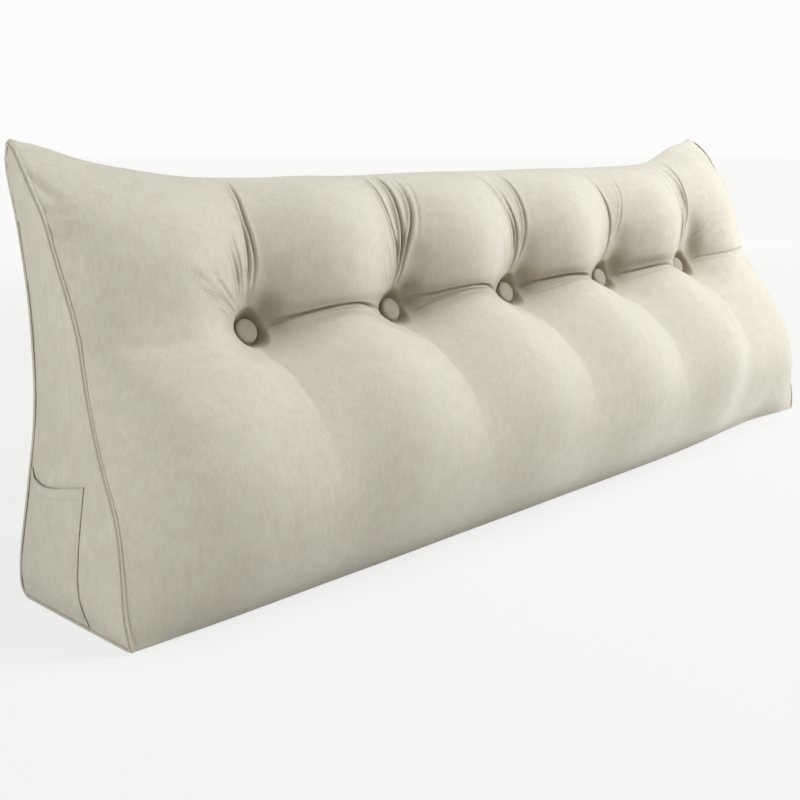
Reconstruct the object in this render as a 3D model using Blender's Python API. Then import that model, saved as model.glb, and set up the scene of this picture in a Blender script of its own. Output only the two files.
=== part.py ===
"""Long wedge backrest pillow: one stuffed velvet wedge, five covered buttons and a side pocket.

Metres, +Z up, the length along X, the front facing -Y, the origin under the middle of the box.
"""
import math

import bmesh
import bpy
import numpy as np
from mathutils import Vector
from mathutils.geometry import delaunay_2d_cdt

# Driving sizes of the stuffed cushion
LENGTH = 1.472
BUTTON_SPACING = 0.2425
BUTTON_COUNT = 5

# Middle of the whole box, measured from the middle button and the base's front edge
LENGTH_CENTRE = -0.0055
DEPTH_CENTRE = 0.0820

# Covered buttons
BUTTON_RADIUS = 0.0155
BUTTON_RISE = 0.0078
BUTTON_EDGE = 0.0030
BUTTON_LEAN = math.radians(21.8)
BUTTON_SIDES = 24
SEAT_Y = 0.1180
SEAT_Z = 0.2810
SEAT_RADIUS = 0.0205
SEAT_BLEND = 0.0150
BUTTON_CLEARANCE = 0.0009

# Side panels and the pocket on the left one
PANEL_CROWN = 0.005
PANEL_CROWN_REACH = 0.070
PANEL_GRID = 0.016
POCKET_THICKNESS = 0.0020
POCKET_GAP = 0.0012
POCKET_SLACK = 0.0022
POCKET_STEPS = 9

# Sections across the cushion, from the back of the base forward, up the front, over the top and
# down the back. Each row is one station, with (y, z) for four sections: the middle of a lobe
# between two buttons, the middle of an outer lobe, the line through a button, and the side seam.
# Then: how far the left and right side seams are drawn in, how far along the cushion they still
# pull, how sharply the tuft pinches (0 round, 1 sharp), and the rows of faces to the next station.
STATIONS = (
    # lobe           outer lobe       tuft             side seam        left    right   reach pinch rows
    ((0.200, 0.000), (0.200, 0.000), (0.200, 0.000), (0.200, 0.000), -0.001, 0.002, 0.20, 0.0, 1),
    ((0.135, 0.000), (0.135, 0.000), (0.135, 0.000), (0.133, 0.000), -0.001, 0.002, 0.20, 0.0, 1),
    ((0.065, 0.000), (0.065, 0.000), (0.065, 0.000), (0.064, 0.000), -0.001, 0.002, 0.20, 0.0, 1),
    ((-0.004, 0.000), (-0.003, 0.000), (-0.004, 0.000), (-0.002, 0.000), -0.001, 0.002, 0.16, 0.0, 1),
    ((-0.022, 0.009), (-0.018, 0.009), (-0.021, 0.009), (-0.007, 0.009), -0.003, 0.002, 0.15, 0.0, 2),
    ((-0.047, 0.040), (-0.036, 0.040), (-0.044, 0.040), (-0.003, 0.040), -0.005, 0.002, 0.15, 0.0, 2),
    ((-0.064, 0.085), (-0.047, 0.085), (-0.057, 0.085), (0.0105, 0.083), 0.003, 0.006, 0.15, 0.0, 2),
    ((-0.070, 0.130), (-0.049, 0.130), (-0.059, 0.125), (0.031, 0.126), 0.012, 0.013, 0.15, 0.1, 2),
    ((-0.064, 0.175), (-0.037, 0.175), (-0.048, 0.165), (0.063, 0.170), 0.020, 0.020, 0.15, 0.2, 2),
    ((-0.042, 0.220), (-0.011, 0.218), (-0.031, 0.193), (0.090, 0.211), 0.0272, 0.0272, 0.16, 0.25, 2),
    ((-0.005, 0.257), (0.020, 0.252), (-0.008, 0.216), (0.103, 0.248), 0.030, 0.030, 0.17, 0.3, 2),
    ((0.036, 0.284), (0.040, 0.277), (0.034, 0.245), (0.110, 0.278), 0.0315, 0.0315, 0.18, 0.4, 3),
    ((0.056, 0.294), (0.049, 0.290), (0.080, 0.261), (0.113, 0.291), 0.032, 0.032, 0.20, 0.5, 4),
    ((0.070, 0.301), (0.057, 0.303), (0.1180, 0.2810), (0.1165, 0.304), 0.032, 0.032, 0.20, 0.6, 3),
    ((0.061, 0.320), (0.064, 0.326), (0.111, 0.312), (0.1235, 0.326), 0.0315, 0.032, 0.20, 0.55, 2),
    ((0.058, 0.352), (0.072, 0.354), (0.103, 0.340), (0.134, 0.353), 0.0305, 0.032, 0.20, 0.5, 2),
    ((0.064, 0.388), (0.083, 0.389), (0.101, 0.370), (0.148, 0.389), 0.0285, 0.032, 0.20, 0.5, 2),
    ((0.083, 0.422), (0.102, 0.421), (0.109, 0.402), (0.159, 0.422), 0.0265, 0.032, 0.22, 0.5, 2),
    ((0.116, 0.446), (0.132, 0.447), (0.130, 0.434), (0.177, 0.453), 0.0235, 0.032, 0.28, 0.4, 2),
    ((0.156, 0.456), (0.166, 0.458), (0.162, 0.453), (0.198, 0.480), 0.024, 0.034, 0.34, 0.3, 2),
    ((0.192, 0.454), (0.200, 0.457), (0.194, 0.453), (0.232, 0.503), 0.030, 0.038, 0.36, 0.2, 2),
    ((0.217, 0.431), (0.218, 0.434), (0.217, 0.430), (0.228, 0.465), 0.027, 0.034, 0.34, 0.1, 1),
    ((0.229, 0.385), (0.226, 0.385), (0.227, 0.384), (0.216, 0.402), 0.029, 0.032, 0.28, 0.0, 1),
    ((0.234, 0.310), (0.228, 0.310), (0.231, 0.309), (0.209, 0.312), 0.031, 0.032, 0.22, 0.0, 1),
    ((0.234, 0.215), (0.228, 0.215), (0.231, 0.215), (0.206, 0.215), 0.0272, 0.0272, 0.20, 0.0, 1),
    ((0.228, 0.120), (0.223, 0.120), (0.226, 0.120), (0.205, 0.120), 0.011, 0.011, 0.20, 0.0, 1),
    ((0.214, 0.038), (0.211, 0.038), (0.213, 0.038), (0.203, 0.038), -0.005, 0.002, 0.20, 0.0, 1),
)
END_TUFT_EASE = 0.6
LEFT_FULLNESS = 0.55
SIDE_PULL_POWER = 2.4
PINCH_POWER = 2.2

# Where the columns of faces fall, measured from a button and from the cushion's end
COLUMNS_FROM_BUTTON = (0.0, 0.009, 0.018, 0.027, 0.040, 0.058, 0.082, 0.121)
COLUMNS_FROM_END = (0.0, 0.005, 0.013, 0.024, 0.039, 0.058, 0.080)

# Outline of the pocket on the side panel, as (y, z): top edge from back to front, then down
POCKET_TOP = ((0.199, 0.150), (0.188, 0.140), (0.165, 0.1365), (0.140, 0.139), (0.115, 0.1445), (0.0885, 0.150))
POCKET_BOTTOM = ((0.199, 0.006), (0.173, 0.006), (0.147, 0.006), (0.121, 0.006), (0.095, 0.006), (0.067, 0.006))
POCKET_BOW = 0.004


def new_material(name, colour, roughness):
    """A plain cloth material."""
    material = bpy.data.materials.new(name)
    material.use_nodes = True
    shader = material.node_tree.nodes["Principled BSDF"]
    shader.inputs["Base Color"].default_value = (*colour, 1.0)
    shader.inputs["Roughness"].default_value = roughness
    shader.inputs["Metallic"].default_value = 0.0
    return material


def add_object(name, mesh, material):
    """Put a mesh in the scene, shaded smooth, with its material."""
    mesh.materials.append(material)
    mesh.shade_smooth()
    part = bpy.data.objects.new(name, mesh)
    bpy.context.scene.collection.objects.link(part)
    return part


def cubic(points, position):
    """A closed smooth curve through points, read at a position counted in points."""
    count = len(points)
    index = int(math.floor(position))
    t = position - index
    p0, p1, p2, p3 = (np.asarray(points[(index + k) % count], float) for k in (-1, 0, 1, 2))
    slope_in = (p2 - p0) / 2
    slope_out = (p3 - p1) / 2
    a = 2 * t ** 3 - 3 * t ** 2 + 1
    b = t ** 3 - 2 * t ** 2 + t
    c = -2 * t ** 3 + 3 * t ** 2
    d = t ** 3 - t ** 2
    return a * p1 + b * slope_in + c * p2 + d * slope_out


def row_positions():
    """Where the rows of faces fall, counted in stations."""
    rows = []
    for index, station in enumerate(STATIONS):
        steps = station[8]
        rows += [index + k / steps for k in range(steps)]
    return rows


def button_places():
    """The X of each button."""
    middle = (BUTTON_COUNT - 1) / 2
    return [(index - middle) * BUTTON_SPACING for index in range(BUTTON_COUNT)]


def column_places():
    """The X of each column of faces, before the ends are drawn in."""
    places = set()
    for button_x in button_places():
        for offset in COLUMNS_FROM_BUTTON:
            places.add(round(button_x - offset, 5))
            places.add(round(button_x + offset, 5))
    for offset in COLUMNS_FROM_END:
        places.add(round(-LENGTH / 2 + offset, 5))
        places.add(round(LENGTH / 2 - offset, 5))
    kept = []
    for place in sorted(places):
        if not kept or place - kept[-1] > 0.0025:
            kept.append(place)
    return kept


def section_row(position):
    """The four sections, inset, reach and pinch at one row, read from the stations."""
    columns = [cubic([station[k] for station in STATIONS], position) for k in range(4)]
    single = [[(station[k],) for station in STATIONS] for k in (4, 5, 6, 7)]
    return columns, [float(cubic(values, position)[0]) for values in single]


def surface_point(x, row):
    """A point of the stuffed cover at a place along the cushion and a row around it."""
    (lobe, outer, tuft, side), (inset_left, inset_right, reach, pinch) = row
    buttons = button_places()
    nearest = min(abs(x - button_x) for button_x in buttons)
    gap = min(nearest / (BUTTON_SPACING / 2), 1.0)
    if x < 0:
        outer = outer + (lobe - outer) * LEFT_FULLNESS * (1 - pinch)
    crown = outer if abs(x) > buttons[-1] else lobe
    if abs(x) > buttons[-2] + BUTTON_SPACING / 2:
        tuft = tuft + (outer - lobe) * END_TUFT_EASE * (1 - pinch)
    inset = inset_left if x < 0 else inset_right
    pinched = min(max(pinch, 0.0), 1.0)
    pull = (0.5 + 0.5 * math.cos(math.pi * gap)) * (1 - pinched) + (1 - gap) ** PINCH_POWER * pinched
    point = crown + (tuft - crown) * pull
    from_end = LENGTH / 2 - abs(x)
    side_pull = max(0.0, 1 - from_end / reach) ** SIDE_PULL_POWER
    point = point + (side - point) * side_pull
    along = x * (1 - 2 * inset * side_pull / LENGTH)
    return Vector((along - LENGTH_CENTRE, point[0] - DEPTH_CENTRE, max(point[1], 0.0)))


def button_axis():
    """The direction that the buttons face."""
    return Vector((0.0, -math.cos(BUTTON_LEAN), math.sin(BUTTON_LEAN)))


def seat_centre(button_x):
    """The middle of the flat seat under a button."""
    return Vector((button_x - LENGTH_CENTRE, SEAT_Y - DEPTH_CENTRE, SEAT_Z))


def press_seats(point):
    """Flatten the cover under each button, where the twine pulls it tight."""
    axis = button_axis()
    for button_x in button_places():
        offset = point - seat_centre(button_x)
        height = offset.dot(axis)
        radius = (offset - axis * height).length
        if abs(height) > 0.05 or radius > SEAT_RADIUS + SEAT_BLEND:
            continue
        t = max(0.0, (radius - SEAT_RADIUS) / SEAT_BLEND)
        kept = t * t * (3 - 2 * t)
        point = point - axis * (height * (1 - kept))
    return point


def outline_distance(y, z, outline):
    """How far a point of the side panel is from the panel's seam."""
    spot = Vector((y, z))
    nearest = 1.0
    for start, end in zip(outline, outline[1:] + outline[:1]):
        edge = end - start
        t = min(max((spot - start).dot(edge) / edge.length_squared, 0.0), 1.0)
        nearest = min(nearest, (spot - start - edge * t).length)
    return nearest


def panel_crown(distance):
    """How far the side panel swells out of its seam line."""
    t = min(distance / PANEL_CROWN_REACH, 1.0)
    return PANEL_CROWN * (1 - (1 - t) ** 2)


def panel_inset(z, outline, insets):
    """How far the side seam is drawn in at a height, the mean of its front and back lines."""
    order = np.argsort([spot.y for spot in outline])
    heights = np.array([outline[k].y for k in order])
    drawn = np.array([insets[k] for k in order])
    return float(np.interp(z, heights, drawn))


def panel_net(outline):
    """Points inside the side panel on a loose grid, and the triangles that join them to its seam."""
    inner = []
    z = PANEL_GRID
    while z < 0.49:
        y = -0.1
        while y < 0.25:
            spot = Vector((y, z))
            if inside(spot, outline) and outline_distance(y, z, outline) > PANEL_GRID * 0.6:
                inner.append(spot)
            y += PANEL_GRID
        z += PANEL_GRID
    spots = outline + inner
    edges = [(k, (k + 1) % len(outline)) for k in range(len(outline))]
    _, _, faces, _, _, _ = delaunay_2d_cdt(spots, edges, [], 1, 1e-6)
    return inner, faces


def inside(spot, outline):
    """Whether a point lies inside a closed outline."""
    crossings = 0
    for start, end in zip(outline, outline[1:] + outline[:1]):
        if (start.y > spot.y) != (end.y > spot.y):
            cross_x = start.x + (spot.y - start.y) / (end.y - start.y) * (end.x - start.x)
            crossings += spot.x < cross_x
    return crossings % 2 == 1


def side_outline(sign):
    """One side seam as (y, z) spots with the inset at each, in the cushion's frame."""
    outline = []
    insets = []
    for position in row_positions():
        row = section_row(position)
        point = surface_point(sign * LENGTH / 2, row)
        outline.append(Vector((point.y, point.z)))
        insets.append(row[1][0] if sign < 0 else row[1][1])
    return outline, insets


def make_cushion(material):
    """The filled wedge as one closed solid."""
    rows = [section_row(position) for position in row_positions()]
    columns = column_places()
    around = len(rows)
    bm = bmesh.new()
    grid = [[bm.verts.new(press_seats(surface_point(x, row))) for row in rows] for x in columns]
    for left, right in zip(grid, grid[1:]):
        for k in range(around):
            bm.faces.new((left[k], left[(k + 1) % around], right[(k + 1) % around], right[k]))
    for sign, ring in ((-1, grid[0]), (1, grid[-1])):
        outline, insets = side_outline(sign)
        inner, faces = panel_net(outline)
        points = list(ring)
        for spot in inner:
            swell = panel_crown(outline_distance(spot.x, spot.y, outline))
            x = LENGTH / 2 - panel_inset(spot.y, outline, insets) + swell
            points.append(bm.verts.new((sign * x - LENGTH_CENTRE, spot.x, spot.y)))
        for face in faces:
            bm.faces.new([points[k] for k in face])
    bmesh.ops.recalc_face_normals(bm, faces=bm.faces)
    mesh = bpy.data.meshes.new("cushion")
    bm.to_mesh(mesh)
    bm.free()
    return add_object("cushion", mesh, material)


def make_button(index, button_x, material):
    """One covered button: a shallow dome with a rolled edge, on its seat."""
    profile = [(0.0, 0.0), (0.6 * BUTTON_RADIUS, 0.0), (BUTTON_RADIUS - BUTTON_EDGE / 2, 0.0)]
    profile += [(BUTTON_RADIUS, BUTTON_EDGE * 0.6), (BUTTON_RADIUS - 0.0006, BUTTON_EDGE * 1.4)]
    for step in range(1, 6):
        angle = math.pi / 2 * step / 5
        radius = (BUTTON_RADIUS - 0.0020) * math.cos(angle)
        height = BUTTON_EDGE * 1.4 + (BUTTON_RISE - BUTTON_EDGE * 1.4) * math.sin(angle)
        profile.append((radius, height))
    axis = button_axis()
    across = Vector((1.0, 0.0, 0.0))
    upward = axis.cross(across)
    centre = seat_centre(button_x) + axis * BUTTON_CLEARANCE
    bm = bmesh.new()
    rings = []
    for radius, height in profile[1:-1]:
        ring = []
        for side in range(BUTTON_SIDES):
            turn = 2 * math.pi * side / BUTTON_SIDES
            spot = across * (radius * math.cos(turn)) + upward * (radius * math.sin(turn))
            ring.append(bm.verts.new(centre + spot + axis * height))
        rings.append(ring)
    under = bm.verts.new(centre)
    crest = bm.verts.new(centre + axis * BUTTON_RISE)
    for k in range(BUTTON_SIDES):
        bm.faces.new((under, rings[0][k], rings[0][(k + 1) % BUTTON_SIDES]))
        bm.faces.new((crest, rings[-1][(k + 1) % BUTTON_SIDES], rings[-1][k]))
        for low, high in zip(rings, rings[1:]):
            bm.faces.new((low[k], low[(k + 1) % BUTTON_SIDES], high[(k + 1) % BUTTON_SIDES], high[k]))
    bmesh.ops.recalc_face_normals(bm, faces=bm.faces)
    mesh = bpy.data.meshes.new(f"button_{index}")
    bm.to_mesh(mesh)
    bm.free()
    return add_object(f"button_{index}", mesh, material)


def make_pocket(material):
    """The patch pocket: a thin sheet that follows the side panel, a little slack at its mouth."""
    outline, insets = side_outline(-1)
    top = [np.array(spot) for spot in POCKET_TOP]
    bottom = [np.array(spot) for spot in POCKET_BOTTOM]
    spans = len(top) - 1
    bm = bmesh.new()
    layers = ([], [])
    for i in range(2 * spans + 1):
        place = i / 2
        k = min(int(place), spans - 1)
        t = place - k
        high = top[k] + (top[k + 1] - top[k]) * t
        low = bottom[k] + (bottom[k + 1] - bottom[k]) * t
        lines = ([], [])
        for j in range(POCKET_STEPS):
            rise = j / (POCKET_STEPS - 1)
            y, z = low + (high - low) * rise
            y += POCKET_BOW * math.sin(math.pi * rise) * place / spans - DEPTH_CENTRE
            swell = panel_crown(outline_distance(y, z, outline))
            slack = POCKET_SLACK * math.sin(math.pi * place / spans) * rise
            base_x = LENGTH / 2 - panel_inset(z, outline, insets) + swell + POCKET_GAP + slack
            base_x = -base_x - LENGTH_CENTRE
            lines[0].append(bm.verts.new((base_x, y, z)))
            lines[1].append(bm.verts.new((base_x - POCKET_THICKNESS, y, z)))
        layers[0].append(lines[0])
        layers[1].append(lines[1])
    wide = 2 * spans
    tall = POCKET_STEPS - 1
    for layer in layers:
        for i in range(wide):
            for j in range(tall):
                bm.faces.new((layer[i][j], layer[i + 1][j], layer[i + 1][j + 1], layer[i][j + 1]))
    rim = [(i, 0) for i in range(wide)] + [(wide, j) for j in range(tall)]
    rim += [(i, tall) for i in range(wide, 0, -1)] + [(0, j) for j in range(tall, 0, -1)]
    for (i0, j0), (i1, j1) in zip(rim, rim[1:] + rim[:1]):
        bm.faces.new((layers[0][i0][j0], layers[0][i1][j1], layers[1][i1][j1], layers[1][i0][j0]))
    bmesh.ops.recalc_face_normals(bm, faces=bm.faces)
    mesh = bpy.data.meshes.new("side_pocket")
    bm.to_mesh(mesh)
    bm.free()
    return add_object("side_pocket", mesh, material)


def main():
    for old in list(bpy.data.objects):
        bpy.data.objects.remove(old)
    velvet = new_material("cream velvet", (0.66, 0.62, 0.53), 0.85)
    button_cloth = new_material("cream velvet on buttons", (0.60, 0.56, 0.47), 0.85)
    make_cushion(velvet)
    for index, button_x in enumerate(button_places(), start=1):
        make_button(index, button_x, button_cloth)
    make_pocket(velvet)


main()
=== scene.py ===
# %% [markdown]
# # A long wedge backrest pillow in cream velvet
#
# The real thing is a cover sewn from a few panels of short-pile velvet and stuffed hard with loose fibre.
# Five covered buttons are pulled into its front, a small pocket is sewn to one end, and a raised, topstitched
# seam runs round both end panels. This script dresses the plain solids of the model, piece by piece.
#
# The model is loaded first. The dressed pillow keeps its size. The dressed pillow has to stay the same size.

# %% Load the imported model
import math

import bmesh
import bpy
import numpy as np
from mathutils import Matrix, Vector, noise
from mathutils.geometry import delaunay_2d_cdt


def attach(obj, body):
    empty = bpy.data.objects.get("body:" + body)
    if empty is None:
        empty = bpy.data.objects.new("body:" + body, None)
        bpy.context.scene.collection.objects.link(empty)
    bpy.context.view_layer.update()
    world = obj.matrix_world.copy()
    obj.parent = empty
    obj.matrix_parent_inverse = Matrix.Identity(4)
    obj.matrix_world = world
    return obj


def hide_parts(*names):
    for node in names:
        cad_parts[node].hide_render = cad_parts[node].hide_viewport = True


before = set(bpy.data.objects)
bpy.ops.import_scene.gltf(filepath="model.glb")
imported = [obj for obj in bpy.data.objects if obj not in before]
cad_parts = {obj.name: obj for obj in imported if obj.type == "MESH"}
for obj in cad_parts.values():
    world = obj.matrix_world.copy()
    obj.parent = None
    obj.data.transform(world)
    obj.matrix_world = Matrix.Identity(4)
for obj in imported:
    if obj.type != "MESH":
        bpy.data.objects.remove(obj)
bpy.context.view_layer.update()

# %% [markdown]
# ## The camera
#
# The camera stands where the photographer stood: in front of the pocket end, a little above the top edge,
# turned about 46 degrees from the front and looking down 13 degrees. Its place is given from the middle of
# the pillow's base, in metres, and its lens is the one that makes the near end as large against the far end
# as in the picture.

# %% Camera at the photographer's place
CAMERA_PLACE = (-1.3085, -1.0150, 0.5040)
CAMERA_TURN = math.radians(46.17)
CAMERA_DIP = math.radians(12.95)
CAMERA_LENS = 51.3

camera_data = bpy.data.cameras.new("camera")
camera_data.lens = CAMERA_LENS
camera_data.sensor_width = 36.0
camera_data.clip_end = 100.0
camera = bpy.data.objects.new("camera", camera_data)
camera.location = CAMERA_PLACE
camera.rotation_euler = (math.pi / 2 - CAMERA_DIP, 0.0, -CAMERA_TURN)
bpy.context.scene.collection.objects.link(camera)
bpy.context.scene.camera = camera
print("camera", [round(v, 3) for v in camera.location])

# %% [markdown]
# ## Colours
#
# Colours are picked as they look on a screen, which is the sRGB scale, and written as hex values. Blender's
# nodes want linear light, so one function turns the first into the second.

# %% From hex to linear light
def linear(hex_colour):
    """An sRGB hex colour as the linear red, green, blue and alpha that a node takes."""
    channels = []
    for start in (1, 3, 5):
        value = int(hex_colour[start:start + 2], 16) / 255
        channels.append(value / 12.92 if value <= 0.04045 else ((value + 0.055) / 1.055) ** 2.4)
    return (*channels, 1.0)


print("cream in linear light", [round(v, 3) for v in linear("#c6c3b5")])

# %% [markdown]
# ## Adding nodes
#
# Materials and Geometry Nodes are both trees of nodes. One helper adds a node of any kind, sets its options,
# and gives its sockets values or links, so each tree below reads like a list. Three shorter ones build on it.

# %% Helpers for nodes
def add_node(tree, kind, settings=(), inputs=()):
    """Add a node, set its options, and give its sockets values or links to other nodes' outputs."""
    node = tree.nodes.new(kind)
    for name, value in dict(settings).items():
        setattr(node, name, value)
    for socket, given in dict(inputs).items():
        if isinstance(given, bpy.types.NodeSocket):
            tree.links.new(given, node.inputs[socket])
        else:
            node.inputs[socket].default_value = given
    return node


def add_noise(tree, place, size, detail=2.0, roughness=0.5):
    """Noise from 0 to 1 with features of one size, in metres."""
    inputs = {"Vector": place, "Scale": 1 / size, "Detail": detail, "Roughness": roughness}
    return add_node(tree, "ShaderNodeTexNoise", {}, inputs).outputs["Fac"]


def add_ramp(tree, value, start, end, low, high, kind="LINEAR"):
    """A value that goes from low to high while another goes from start to end."""
    inputs = {"Value": value, "From Min": start, "From Max": end, "To Min": low, "To Max": high}
    return add_node(tree, "ShaderNodeMapRange", {"interpolation_type": kind}, inputs).outputs["Result"]


def add_mix(tree, share, first, second, blend="MIX"):
    """Two colours, mixed by a share of the second."""
    settings = {"data_type": "RGBA", "blend_type": blend}
    inputs = {"Factor": share, "A": first, "B": second}
    return add_node(tree, "ShaderNodeMix", settings, inputs).outputs["Result"]


def new_material(name):
    """A material with an empty node tree and its output node."""
    material = bpy.data.materials.new(name)
    material.use_nodes = True
    tree = material.node_tree
    tree.nodes.clear()
    return material, tree, add_node(tree, "ShaderNodeOutputMaterial")


print("node helpers ready")

# %% [markdown]
# ## Adding objects
#
# Every piece is built in place around the world's origin, so no object is moved or turned. One helper puts an
# object into the scene, and one turns a finished shape into a smoothly shaded object.

# %% Helpers for objects
def add_object(name, data):
    """A new object in the scene, at the origin."""
    thing = bpy.data.objects.new(name, data)
    bpy.context.scene.collection.objects.link(thing)
    return thing


def finish_shape(name, shape):
    """A finished shape as a smoothly shaded object."""
    bmesh.ops.recalc_face_normals(shape, faces=shape.faces)
    mesh = bpy.data.meshes.new(name)
    shape.to_mesh(mesh)
    shape.free()
    mesh.shade_smooth()
    return add_object(name, mesh)


print("object helpers ready")

# %% [markdown]
# ## Light
#
# The picture was taken in a white studio. One large soft light stands high on the right of the front, so the
# side of each hollow that faces left falls into shade. A weaker one hangs over the top edge, and another on
# the pocket side keeps the end panel readable. A faint, slightly warm sky fills the shade, brighter from
# above than from below. The camera alone sees white in its place.

# %% Lights and world
LIGHTS = (
    # name          place               size  watts
    ("key light", (2.10, -1.60, 1.80), 1.00, 82.0),
    ("top light", (0.50, -0.30, 2.40), 0.90, 16.0),
    ("end light", (-2.60, -0.30, 0.65), 1.20, 22.0),
)
LIGHT_TARGET = Vector((0.0, 0.0, 0.25))
SKY_LOW, SKY_HIGH = -0.1, 0.9
SKY_FROM_BELOW, SKY_FROM_ABOVE = 0.08, 0.42
BACKGROUND_BRIGHTNESS = 0.97
WHITE = linear("#ffffff")


def add_light(name, place, size, watts):
    """A square soft light that looks at the middle of the pillow."""
    data = bpy.data.lights.new(name, "AREA")
    data.size = size
    data.energy = watts
    light = add_object(name, data)
    light.location = place
    light.rotation_euler = (LIGHT_TARGET - Vector(place)).to_track_quat("-Z", "Y").to_euler()


def white_studio():
    """A faint sky that lights the pillow, and a white backdrop for the camera alone."""
    world = bpy.data.worlds.new("white studio")
    world.use_nodes = True
    tree = world.node_tree
    tree.nodes.clear()
    way = add_node(tree, "ShaderNodeTexCoord").outputs["Generated"]
    height = add_node(tree, "ShaderNodeSeparateXYZ", {}, {"Vector": way}).outputs["Z"]
    strength = add_ramp(tree, height, SKY_LOW, SKY_HIGH, SKY_FROM_BELOW, SKY_FROM_ABOVE)
    sky = add_node(tree, "ShaderNodeBackground", {}, {"Color": linear("#fdf7ec"), "Strength": strength})
    backdrop = add_node(tree, "ShaderNodeBackground", {}, {"Color": WHITE, "Strength": BACKGROUND_BRIGHTNESS})
    seen = add_node(tree, "ShaderNodeLightPath").outputs["Is Camera Ray"]
    studio = add_node(
        tree, "ShaderNodeMixShader", {},
        {"Fac": seen, 1: sky.outputs["Background"], 2: backdrop.outputs["Background"]},
    )
    add_node(tree, "ShaderNodeOutputWorld", {}, {"Surface": studio.outputs["Shader"]})
    return world


for light_row in LIGHTS:
    add_light(*light_row)
bpy.context.scene.world = white_studio()
bpy.context.scene.view_settings.view_transform = "Standard"
print("lights", len(LIGHTS))

# %% [markdown]
# ## Floor
#
# The pillow stands on plain pale paper. For the camera it is mixed most of the way to white, so that only the
# shade at the pillow's foot is left of it. Far out it also glows, and runs into the backdrop without an edge.

# %% Floor
FLOOR_RADIUS = 30.0
FLOOR_DROP = 0.0004
GLOW_START, GLOW_END = 0.9, 4.5
FAR_FLOOR_GLOW = 0.66
STUDIO_WHITENESS = 0.80


def studio_paper():
    """Matt paper that the camera sees almost as white as the backdrop."""
    material, tree, output = new_material("matt white studio paper")
    place = add_node(tree, "ShaderNodeTexCoord").outputs["Object"]
    reach = add_node(tree, "ShaderNodeVectorMath", {"operation": "LENGTH"}, {0: place}).outputs["Value"]
    glow = add_ramp(tree, reach, GLOW_START, GLOW_END, 0.0, FAR_FLOOR_GLOW, "SMOOTHSTEP")
    paper = add_node(
        tree, "ShaderNodeBsdfPrincipled", {},
        {"Base Color": linear("#d2d1cf"), "Roughness": 0.9,
         "Emission Color": WHITE, "Emission Strength": glow},
    )
    white = add_node(tree, "ShaderNodeEmission", {}, {"Color": WHITE, "Strength": BACKGROUND_BRIGHTNESS})
    seen = add_node(tree, "ShaderNodeLightPath").outputs["Is Camera Ray"]
    share = add_node(tree, "ShaderNodeMath", {"operation": "MULTIPLY"}, {0: seen, 1: STUDIO_WHITENESS})
    mixed = add_node(
        tree, "ShaderNodeMixShader", {},
        {0: share.outputs["Value"], 1: paper.outputs["BSDF"], 2: white.outputs["Emission"]},
    )
    tree.links.new(mixed.outputs["Shader"], output.inputs["Surface"])
    return material


floor_mesh = bpy.data.meshes.new("floor")
floor_shape = bmesh.new()
bmesh.ops.create_circle(floor_shape, cap_ends=True, segments=64, radius=FLOOR_RADIUS)
bmesh.ops.translate(floor_shape, verts=floor_shape.verts, vec=(0.0, 0.0, -FLOOR_DROP))
floor_shape.to_mesh(floor_mesh)
floor_shape.free()
floor_mesh.materials.append(studio_paper())
floor = add_object("floor", floor_mesh)
print("floor radius", FLOOR_RADIUS)

# %% [markdown]
# ## The shape of the stuffed cover
#
# A plain wedge would look like a block of wood. What makes this one a pillow is how its section changes along
# its length: full between the buttons, drawn in deep at each button, and drawn tight to the flat end panels.
# So the shape is kept as a short table. Each row of the table is one station on the way round the section:
# along the base, up the front, over the top and down the back. It gives the (depth, height) of four sections
# there: between two buttons, beyond the last button, through a button, and at the end seam. Then it gives how
# far the seam is drawn in at the left and right end, from how far away the cover is drawn to it, and how narrow
# the dimple of a button is.

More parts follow.
